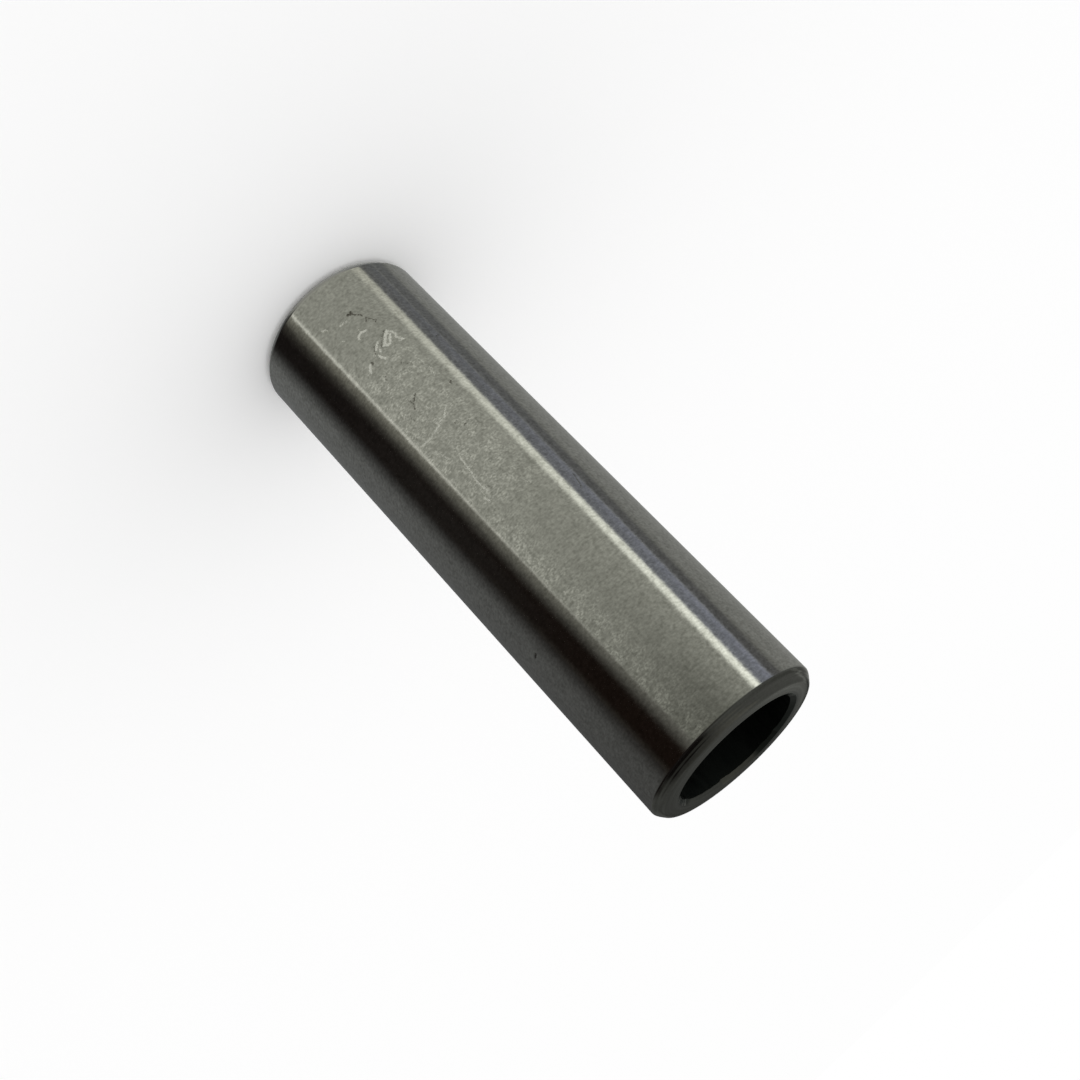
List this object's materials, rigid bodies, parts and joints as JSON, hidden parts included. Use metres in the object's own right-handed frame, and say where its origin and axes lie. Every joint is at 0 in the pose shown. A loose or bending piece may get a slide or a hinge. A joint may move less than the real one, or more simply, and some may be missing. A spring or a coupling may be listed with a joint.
{
  "type": "gudgeon pin",
  "caption": "Hollow ground steel pin with a straight bore and chamfered ends, which joins a piston to its connecting rod.",
  "frame": {"origin": "centre of the lower end face, on the pin's axis", "axes": "+Z along the pin's axis, from the lower end face to the upper one; X and Y are alike"},
  "size_m": [0.02, 0.02, 0.0655],
  "materials": {
    "ground_steel": "ground and lapped outside, turned ends, dark unpolished bore"
  },
  "bodies": {
    "root": {"gudgeon_pin": "ground_steel"}
  },
  "joints": []
}
